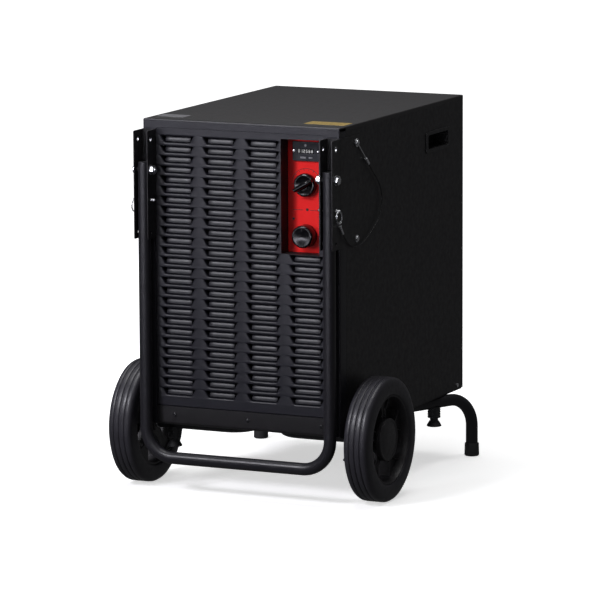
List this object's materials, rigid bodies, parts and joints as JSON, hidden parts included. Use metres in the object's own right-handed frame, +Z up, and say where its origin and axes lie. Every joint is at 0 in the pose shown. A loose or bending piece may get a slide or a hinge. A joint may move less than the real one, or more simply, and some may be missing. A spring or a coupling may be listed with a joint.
{
  "type": "dehumidifier",
  "caption": "Black sheet-metal dehumidifier on a tube chassis with side wheels, louvred front, recessed red control strip and a fold-over tube handle.",
  "frame": {"origin": "on the floor, on the centre plane, midway between the bracket flanges at the front and the tank grip at the back", "axes": "seen from the louvred front, +X is to the right, +Y runs from the front back to the rear panel, +Z is up"},
  "size_m": [0.574, 0.68, 0.755],
  "materials": {
    "black_paint": "satin",
    "tube_paint": "semi-gloss",
    "red_plate": "satin",
    "inner_steel": "satin",
    "zinc": "satin",
    "coil": "satin",
    "copper": "satin",
    "black_plastic": "matte",
    "knob_plastic": "gloss",
    "hub_plastic": "matte",
    "white_plastic": "matte",
    "tank_plastic": "matte",
    "meter": "matte",
    "filter_foam": "matte",
    "compressor_paint": "gloss",
    "rubber": "matte",
    "tyre": "matte",
    "wire": "satin",
    "label": "satin"
  },
  "bodies": {
    "cabinet": {"base_pan": "black_paint", "front_frame": "black_paint", "front_panel": "black_paint", "wrap_cover": "black_paint", "rear_panel": "black_paint", "control_box": "black_paint", "control_plate": "red_plate", "hour_meter": "meter", "plate_screws": "zinc", "humidistat": "white_plastic", "mode_switch": "black_plastic", "partition": "inner_steel", "evaporator": "coil", "condenser": "coil", "coil_pipes": "copper", "drip_tray": "white_plastic", "air_filter": "filter_foam", "compressor": "compressor_paint", "compressor_mounts": "rubber", "electrics_box": "inner_steel", "fan_motor": "black_plastic", "fan_shroud": "inner_steel", "fan_guard": "black_paint", "grip_left": "black_plastic", "grip_right": "black_plastic", "bracket_left": "black_paint", "bracket_right": "black_paint", "bracket_screws": "zinc", "pin_bushes": "white_plastic", "pivot_bolts": "zinc", "pivot_nuts": "zinc", "cover_screws": "zinc", "base_screws": "zinc", "leg_tube_left": "tube_paint", "leg_tube_right": "tube_paint", "leg_ferrules": "rubber", "stub_feet": "rubber", "leg_bolts": "zinc", "axles": "zinc", "lanyard_eyes": "zinc", "cable_gland": "black_plastic", "top_labels": "label", "lanyard_left": "wire", "lanyard_right": "wire"},
    "handle": {"handle_tube": "tube_paint", "handle_plugs": "black_plastic"},
    "lock_pin_left": {"lock_pin_left": "zinc", "pin_ring_left": "zinc"},
    "lock_pin_right": {"lock_pin_right": "zinc", "pin_ring_right": "zinc"},
    "wheel_left": {"tyre_left": "tyre", "hub_left": "hub_plastic", "hub_cap_left": "hub_plastic"},
    "wheel_right": {"tyre_right": "tyre", "hub_right": "hub_plastic", "hub_cap_right": "hub_plastic"},
    "fan": {"fan_rotor": "black_plastic"},
    "tank": {"water_tank": "tank_plastic"},
    "humidistat_knob": {"knob_humidistat": "knob_plastic"},
    "mode_knob": {"knob_mode": "knob_plastic"}
  },
  "joints": [
    {"name": "handle_swing", "type": "hinge", "parent": "cabinet", "child": "handle", "pos_m": [0, -0.3225, 0.655], "axis": [-1, 0, 0], "range_deg": [0, 180]},
    {"name": "pin_pull_left", "type": "slide", "parent": "cabinet", "child": "lock_pin_left", "axis": [-1, 0, 0], "range_m": [0, 0.05], "deforming": ["lanyard_left"]},
    {"name": "pin_pull_right", "type": "slide", "parent": "cabinet", "child": "lock_pin_right", "axis": [1, 0, 0], "range_m": [0, 0.05], "deforming": ["lanyard_right"]},
    {"name": "wheel_spin_left", "type": "hinge", "parent": "cabinet", "child": "wheel_left", "pos_m": [-0.26, -0.21, 0.125], "axis": [1, 0, 0], "continuous": true},
    {"name": "wheel_spin_right", "type": "hinge", "parent": "cabinet", "child": "wheel_right", "pos_m": [0.26, -0.21, 0.125], "axis": [1, 0, 0], "continuous": true},
    {"name": "fan_spin", "type": "hinge", "parent": "cabinet", "child": "fan", "pos_m": [0, -0.041, 0.588], "axis": [0, 1, 0], "continuous": true},
    {"name": "tank_slide", "type": "slide", "parent": "cabinet", "child": "tank", "axis": [0, 1, 0], "range_m": [0, 0.3]},
    {"name": "humidistat_turn", "type": "hinge", "parent": "cabinet", "child": "humidistat_knob", "pos_m": [0.1277, -0.28, 0.635], "axis": [0, 1, 0], "range_deg": [-30, 270]},
    {"name": "mode_turn", "type": "hinge", "parent": "cabinet", "child": "mode_knob", "pos_m": [0.1277, -0.28, 0.5335], "axis": [0, 1, 0], "range_deg": [-60, 60]}
  ]
}
